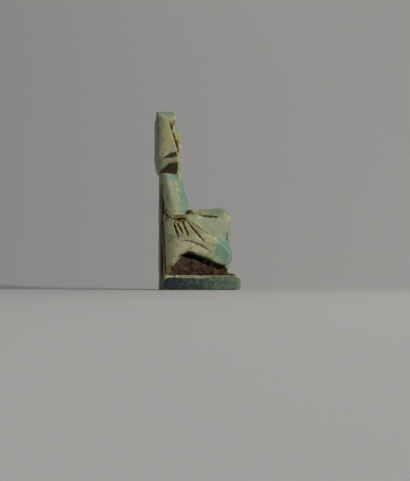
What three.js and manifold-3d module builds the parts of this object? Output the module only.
// Small faience amulet: a god kneels on one knee and lifts the disc of the sun, moulded in one piece with a
// low plinth and a back pillar. Millimetres, +Z up. The figure faces +X and its left side is +Y, so the
// kneeling right leg is at -Y. The origin is on the underside, below the middle of the whole piece.
import * as THREE from "three";
import { ConvexGeometry } from "three/addons/geometries/ConvexGeometry.js";
import { mergeVertices } from "three/addons/utils/BufferGeometryUtils.js";
import Module from "manifold-3d";

const wasm = await Module();
wasm.setup();

// Driving dimensions of the whole piece.
const HEIGHT = 30;
const LENGTH = 14;
const WIDTH = 8.8;
const BACK = -LENGTH / 2;
const FRONT = LENGTH / 2;
const SIDES = [-1, 1];

// The low plinth, its ends rounded off, and the pillar that rises behind the figure.
const PLINTH = { back: -6.3, height: 2.3, frontRadius: 1.4, backRadius: 1.0, footRadius: 0.4, edge: 0.3 };
const PILLAR = { back: -6.35, footHalf: 2.2, topHalf: 1.9, depth: 1.8, height: 20.2 };

// Limbs seen from the side: the joint's place along X and Z, and the limb's radius there.
const THIGH_DOWN = { from: [-2.2, 9.3, 2.85], to: [3.5, 6.0, 2.1], near: -4.3, far: 0.2, round: 1.0 };
const HAUNCH = { from: [-3.7, 10.2, 2.15], to: [-3.7, 5.0, 2.0], near: -4.15, far: 4.15, round: 0.9 };
const HEEL = { from: [-4.6, 4.0, 1.2], to: [-4.5, 2.6, 1.1], near: -4.0, far: 4.0, round: 0.6 };
const CALF = { from: [3.7, 3.3, 1.2], to: [-3.4, 3.2, 1.3], near: -2.9, far: -0.4, round: 0.7 };
const THIGH_UP = { from: [-3.0, 11.5, 2.0], to: [4.1, 12.35, 1.85], near: -0.5, far: 4.2, round: 1.1 };
const SHIN = { from: [4.0, 12.2, 1.9], to: [4.5, 4.0, 1.25], near: -0.5, far: 3.8, round: 1.0 };
const FOOT = { from: [4.2, 3.0, 1.0], to: [5.5, 2.5, 0.75], near: 0.6, far: 3.9, round: 0.6 };
const WEB = { from: [-1.5, 8.0, 4.2], to: [2.1, 6.3, 3.2], near: -0.6, far: 3.2, round: 0.9 };

// The kilt's cloth stretched between the lowered and the raised thigh, by its corners.
const APRON = {
  near: -3.2,
  inner: -1.0,
  far: 0.6,
  back: [-2.4, 12.6],
  low: [4.2, 7.2],
  knee: [4.8, 12.4],
  root: [-2, 7],
};

// The bare torso: height, back, side ridge, front, and half widths at the back, the ridge and the front.
const TORSO = [
  { z: 19.9, back: -6.25, ridge: -5.4, front: -2.75, backHalf: 1.9, ridgeHalf: 2.9, frontHalf: 1.5 },
  { z: 16.2, back: -6.2, ridge: -4.9, front: -2.15, backHalf: 1.9, ridgeHalf: 2.85, frontHalf: 1.5 },
  { z: 13.0, back: -6.15, ridge: -4.4, front: -0.95, backHalf: 2.0, ridgeHalf: 3.0, frontHalf: 1.4 },
];
const FLANK = { forward: 0.4, taper: 0.94 };
const SHOULDER = { drop: 1.0, inset: 0.6 };
const BELT = { bottom: 12.0, top: 12.75, grow: 0.1 };
const KNOT = { center: [-1.3, -0.3, 12.9], radii: [0.65, 1.04, 0.65] };
const WAIST = { bottom: 11.0, top: 13.2, inset: 0.25 };

// The raised arms: shoulder, elbow and wrist, each by its X range and its place across and up the figure.
const ARM = {
  shoulder: { back: -6.1, front: -3.6, inner: 1.8, outer: 2.6, low: 19.2, high: 20.8 },
  elbow: { back: -6.9, front: -3.3, inner: 2.7, outer: 4.35, low: 21.2, high: 22.3 },
  wrist: { back: BACK, front: -5.4, inner: 2.5, outer: 3.8, low: 28.2, high: 29.1 },
  bevel: { back: 0.35, front: 0.3, top: 0.3 },
  notch: { front: -3.0, back: -6.4, low: 21.75, high: 22.95, tip: 0.15, depth: 1.0 },
};
const BACKING = { front: -5.3, half: 3.6, lowHalf: 2.6, topHalf: 3.3, low: 20.0, elbow: 21.8, high: 28.4 };
const DISC = { back: BACK + 0.1, front: -3.75, radius: 3.1, edge: 0.35 };

// The head: skull, wig with its two lappets, and the long plaited beard that reaches the chest.
const FACE = { center: [-4.25, 0, 25.25], radii: [1.45, 1.45, 2.0] };
const CROWN = { center: [-4.8, 0, 25.7], radii: [1.75, 2.15, 2.3] };
const WIG = { back: -6.2, front: -3.9, half: 2.1, low: 20.0, high: 25.8 };
const LAPPET = { inner: 0.85, outer: 1.95, back: -4.2, front: -3.25, low: 18.6, high: 25.1 };
const NOSE = { tip: -2.6, root: -3.0, sunk: -3.6, low: 24.95, tipUp: 0.2, high: 25.95, half: 0.34 };
const BEARD = {
  back: -3.6,
  front: -2.75,
  low: 18.8,
  high: 23.8,
  topHalf: 0.55,
  lowHalf: 0.4,
  slant: 0.3,
  taper: 0.6,
};
const EAR = { radius: 0.5, x: -3.65, z: 25.35, flatten: 0.6, side: 1.75 };

// Incised lines: pleats that fan out from the belt, each from and to a place given along X and Z.
const PLEATS = [
  { from: [-4.3, 11.2], to: [-3.6, 9.0] },
  { from: [-3.7, 11.1], to: [-2.8, 9.4] },
  { from: [-3.0, 11.3], to: [-1.9, 8.9] },
  { from: [-2.3, 11.7], to: [0.7, 8.3] },
];
const PLEAT = { width: 0.34, depth: 0.4, surface: 4.3 };
const HEM = [[-3.4, 8.3], [-1.7, 8.2], [0, 7.55], [1.9, 6.4]];
const CREVICE = { from: [-6.3, 15.3], to: [-5.6, 2.6], width: 0.3, surface: 3.0, depth: 1.2 };

// How finely round stretches are divided.
const CURVE_STEPS = 10;
const ROUND_STEPS = 2;
const RING_STEPS = 40;
const BALL_STEPS = [24, 16];

// A closed geometry as a solid that can be joined and cut.
function solidFrom(geometry) {
  geometry.deleteAttribute("normal");
  geometry.deleteAttribute("uv");
  const merged = mergeVertices(geometry, 1e-4);
  const mesh = new wasm.Mesh({
    numProp: 3,
    vertProperties: merged.attributes.position.array,
    triVerts: new Uint32Array(merged.index.array),
  });
  return new wasm.Manifold(mesh);
}

// The convex body around a set of points.
function bodyAround(points) {
  return solidFrom(new ConvexGeometry(points.map((p) => new THREE.Vector3(...p))));
}

// An outline in the X-Z plane carried across the figure from near to far, with its edges rounded off.
function acrossFigure(outline, near, far, round) {
  const geometry = new THREE.ExtrudeGeometry(outline, {
    depth: far - near - 2 * round,
    bevelThickness: round,
    bevelSize: round,
    bevelOffset: -round,
    bevelSegments: ROUND_STEPS,
    curveSegments: CURVE_STEPS,
  });
  geometry.rotateX(Math.PI / 2);
  geometry.translate(0, far - round, 0);
  return solidFrom(geometry);
}

// A limb between two joints: the outline around two circles, with the edges rounded across the figure.
function limb({ from: [x1, z1, r1], to: [x2, z2, r2], near, far, round }) {
  const along = Math.atan2(z2 - z1, x2 - x1);
  const spread = Math.acos((r1 - r2) / Math.hypot(x2 - x1, z2 - z1));
  const outline = new THREE.Shape();
  outline.absarc(x2, z2, r2, along - spread, along + spread, false);
  outline.absarc(x1, z1, r1, along + spread, along - spread + 2 * Math.PI, false);
  return acrossFigure(outline, near, far, round);
}

// A box by its ranges.
function box([x1, x2], [y1, y2], [z1, z2]) {
  const geometry = new THREE.BoxGeometry(x2 - x1, y2 - y1, z2 - z1);
  geometry.translate((x1 + x2) / 2, (y1 + y2) / 2, (z1 + z2) / 2);
  return solidFrom(geometry);
}

function ball([x, y, z], [rx, ry, rz]) {
  const geometry = new THREE.SphereGeometry(1, ...BALL_STEPS);
  geometry.scale(rx, ry, rz);
  geometry.translate(x, y, z);
  return solidFrom(geometry);
}

// A V-shaped cut along a straight line on one side of the figure, with its full width at the surface.
// The side is -1 for its right, 1 for its left.
function incision(side, from, to, width, depth, surface) {
  const [x1, z1] = from;
  const [x2, z2] = to;
  const length = Math.hypot(x2 - x1, z2 - z1);
  const nx = (-(z2 - z1) / length) * width;
  const nz = ((x2 - x1) / length) * width;
  const outside = side * (surface + depth);
  const inside = side * (surface - depth);
  const corners = [from, to].flatMap(([x, z]) => [
    [x + nx, outside, z + nz],
    [x - nx, outside, z - nz],
    [x, inside, z],
  ]);
  return bodyAround(corners);
}

function plinth() {
  const { back, height, frontRadius, backRadius, footRadius, edge } = PLINTH;
  const outline = new THREE.Shape();
  outline.absarc(FRONT - footRadius, footRadius, footRadius, -Math.PI / 2, 0, false);
  outline.absarc(FRONT - frontRadius, height - frontRadius, frontRadius, 0, Math.PI / 2, false);
  outline.absarc(back + backRadius, height - backRadius, backRadius, Math.PI / 2, Math.PI, false);
  outline.absarc(back + footRadius, footRadius, footRadius, Math.PI, 1.5 * Math.PI, false);
  return acrossFigure(outline, -WIDTH / 2, WIDTH / 2, edge);
}

function backPillar() {
  const { back, footHalf, topHalf, depth, height } = PILLAR;
  const ends = [
    [footHalf, 0],
    [topHalf, height],
  ];
  const corners = ends.flatMap(([half, z]) =>
    SIDES.flatMap((side) => [
      [back, side * half, z],
      [back + depth, side * half, z],
    ]),
  );
  return bodyAround(corners);
}

// The cloth between the thighs slopes from the lowered thigh's edge back to the raised one.
function apron() {
  const { near, inner, far, back, low, knee, root } = APRON;
  const lowered = [back, low, root].map(([x, z]) => [x, near, z]);
  const raised = [back, low, knee, root].map(([x, z]) => [x, far, z]);
  return bodyAround([...lowered, [knee[0], inner, knee[1]], ...raised]);
}

function torsoSection({ z, back, ridge, front, backHalf, ridgeHalf, frontHalf }) {
  const flank = (ridge + front) / 2 + FLANK.forward;
  return SIDES.flatMap((side) => [
    [back, side * backHalf, z],
    [ridge, side * ridgeHalf, z],
    [flank, side * ridgeHalf * FLANK.taper, z],
    [front, side * frontHalf, z],
  ]);
}

function torso() {
  const [top, middle, bottom] = TORSO;
  const chest = bodyAround([
    ...torsoSection({ ...top, z: top.z - SHOULDER.drop }),
    ...torsoSection({ ...top, ridgeHalf: top.ridgeHalf - SHOULDER.inset }),
    ...torsoSection(middle),
  ]);
  const belly = bodyAround([...torsoSection(middle), ...torsoSection(bottom)]);
  return chest.add(belly);
}

// A band around the waist between two heights, grown or shrunk all round from the torso's lower end.
function waistBand(bottom, top, grow) {
  const { back, ridge, front, backHalf, ridgeHalf, frontHalf } = TORSO[2];
  const section = { back, ridge, front: front + grow, backHalf, ridgeHalf: ridgeHalf + grow, frontHalf };
  return bodyAround([...torsoSection({ ...section, z: bottom }), ...torsoSection({ ...section, z: top })]);
}

// The belt lies around a waist that is a little narrower, so that a line is left above and below it.
function belt() {
  const { bottom, top, grow } = BELT;
  const waist = waistBand(WAIST.bottom, WAIST.top, -WAIST.inset);
  return waistBand(bottom, top, grow).add(waist).add(ball(KNOT.center, KNOT.radii));
}

// A block of arm between two heights, by its X range and its reach across the figure on one side.
function armSection(side, { back, front, inner, outer }, z) {
  return [
    [back, side * inner, z],
    [back + ARM.bevel.back, side * outer, z],
    [front - ARM.bevel.front, side * outer, z],
    [front, side * inner, z],
  ];
}

function raisedArm(side) {
  const { shoulder, elbow, wrist, bevel, notch } = ARM;
  const upper = bodyAround([
    ...armSection(side, shoulder, shoulder.low),
    ...armSection(side, shoulder, shoulder.high),
    ...armSection(side, elbow, elbow.low),
    ...armSection(side, elbow, elbow.high),
  ]);
  const forearm = bodyAround([
    ...armSection(side, elbow, elbow.high),
    ...armSection(side, wrist, wrist.low),
    ...armSection(side, { ...wrist, outer: wrist.outer - bevel.top }, wrist.high),
  ]);
  const outside = side * (elbow.outer + notch.depth);
  const inside = side * (elbow.outer - notch.depth);
  const bend = bodyAround([
    [notch.front, outside, notch.low],
    [notch.front, outside, notch.high],
    [notch.front, inside, (notch.low + notch.high) / 2],
    [notch.back, outside, notch.low],
    [notch.back, outside, notch.low + notch.tip],
  ]);
  return upper.add(forearm).subtract(bend);
}

// The clay left standing between the arms and the head closes the back in one flat plane.
function backing() {
  const { front, half, lowHalf, topHalf, low, elbow, high } = BACKING;
  const levels = [
    [lowHalf, low],
    [half, elbow],
    [topHalf, high],
  ];
  const corners = levels.flatMap(([reach, z]) =>
    SIDES.flatMap((side) => [
      [DISC.back, side * reach, z],
      [front, side * reach, z],
    ]),
  );
  return bodyAround(corners);
}

// The sun's disc stands on edge behind the head, between the hands.
function sunDisc() {
  const { back, front, radius, edge } = DISC;
  const profile = [
    [0, back],
    [radius - edge, back],
    [radius, back + edge],
    [radius, front - edge],
    [radius - edge, front],
    [0, front],
  ];
  const geometry = new THREE.LatheGeometry(
    profile.map(([r, x]) => new THREE.Vector2(r, x)),
    RING_STEPS,
  );
  geometry.rotateZ(-Math.PI / 2);
  geometry.translate(0, 0, HEIGHT - radius);
  return solidFrom(geometry);
}

function head() {
  const face = ball(FACE.center, FACE.radii);
  const crown = ball(CROWN.center, CROWN.radii);
  const wig = box([WIG.back, WIG.front], [-WIG.half, WIG.half], [WIG.low, WIG.high]);
  const nose = bodyAround([
    [NOSE.tip, 0, NOSE.low + NOSE.tipUp],
    [NOSE.root, 0, NOSE.high],
    [NOSE.root, -NOSE.half, NOSE.low],
    [NOSE.root, NOSE.half, NOSE.low],
    [NOSE.sunk, 0, NOSE.high],
    [NOSE.sunk, 0, NOSE.low],
  ]);
  const beard = bodyAround(
    SIDES.flatMap((side) => [
      [BEARD.back, side * BEARD.topHalf, BEARD.high],
      [BEARD.front, side * BEARD.topHalf * BEARD.taper, BEARD.high - BEARD.slant],
      [BEARD.back, side * BEARD.lowHalf, BEARD.low],
      [BEARD.front, side * BEARD.lowHalf * BEARD.taper, BEARD.low + BEARD.slant],
    ]),
  );
  const sides = SIDES.map((side) => {
    const reach = [side * LAPPET.inner, side * LAPPET.outer].sort((a, b) => a - b);
    const lappet = box([LAPPET.back, LAPPET.front], reach, [LAPPET.low, LAPPET.high]);
    const ear = ball([EAR.x, side * EAR.side, EAR.z], [EAR.radius, EAR.radius * EAR.flatten, EAR.radius]);
    return lappet.add(ear);
  });
  return [face, crown, wig, nose, beard, ...sides].reduce((a, b) => a.add(b));
}

// Everything that is cut into the surface: the kilt's pleats and hem, and the line beside the pillar.
function incisions() {
  const cuts = SIDES.flatMap((side) => [
    ...PLEATS.map(({ from, to }) => incision(side, from, to, PLEAT.width, PLEAT.depth, PLEAT.surface)),
    incision(side, CREVICE.from, CREVICE.to, CREVICE.width, CREVICE.depth, CREVICE.surface),
  ]);
  const hem = HEM.slice(1).map((to, i) => (
    incision(-1, HEM[i], to, PLEAT.width, PLEAT.depth, PLEAT.surface)
  ));
  return [...cuts, ...hem].reduce((a, b) => a.add(b));
}

function amulet() {
  const limbs = [THIGH_DOWN, HAUNCH, HEEL, CALF, THIGH_UP, SHIN, FOOT, WEB].map(limb);
  const masses = [plinth(), backPillar(), apron(), torso(), belt(), backing(), sunDisc(), head(), ...limbs];
  const arms = SIDES.map(raisedArm);
  return [...masses, ...arms].reduce((a, b) => a.add(b)).subtract(incisions());
}

// The finished solid as a three.js geometry.
function geometryOf(solid) {
  const { vertProperties, triVerts } = solid.getMesh();
  const geometry = new THREE.BufferGeometry();
  geometry.setAttribute("position", new THREE.BufferAttribute(vertProperties, 3));
  geometry.setIndex(new THREE.BufferAttribute(triVerts, 1));
  geometry.computeVertexNormals();
  return geometry;
}

const faience = new THREE.MeshStandardMaterial({ color: 0xa7b08a, roughness: 0.5, metalness: 0 });
const figure = new THREE.Mesh(geometryOf(amulet()), faience);
figure.name = "amulet";

const part = new THREE.Group();
part.add(figure);

export default part;
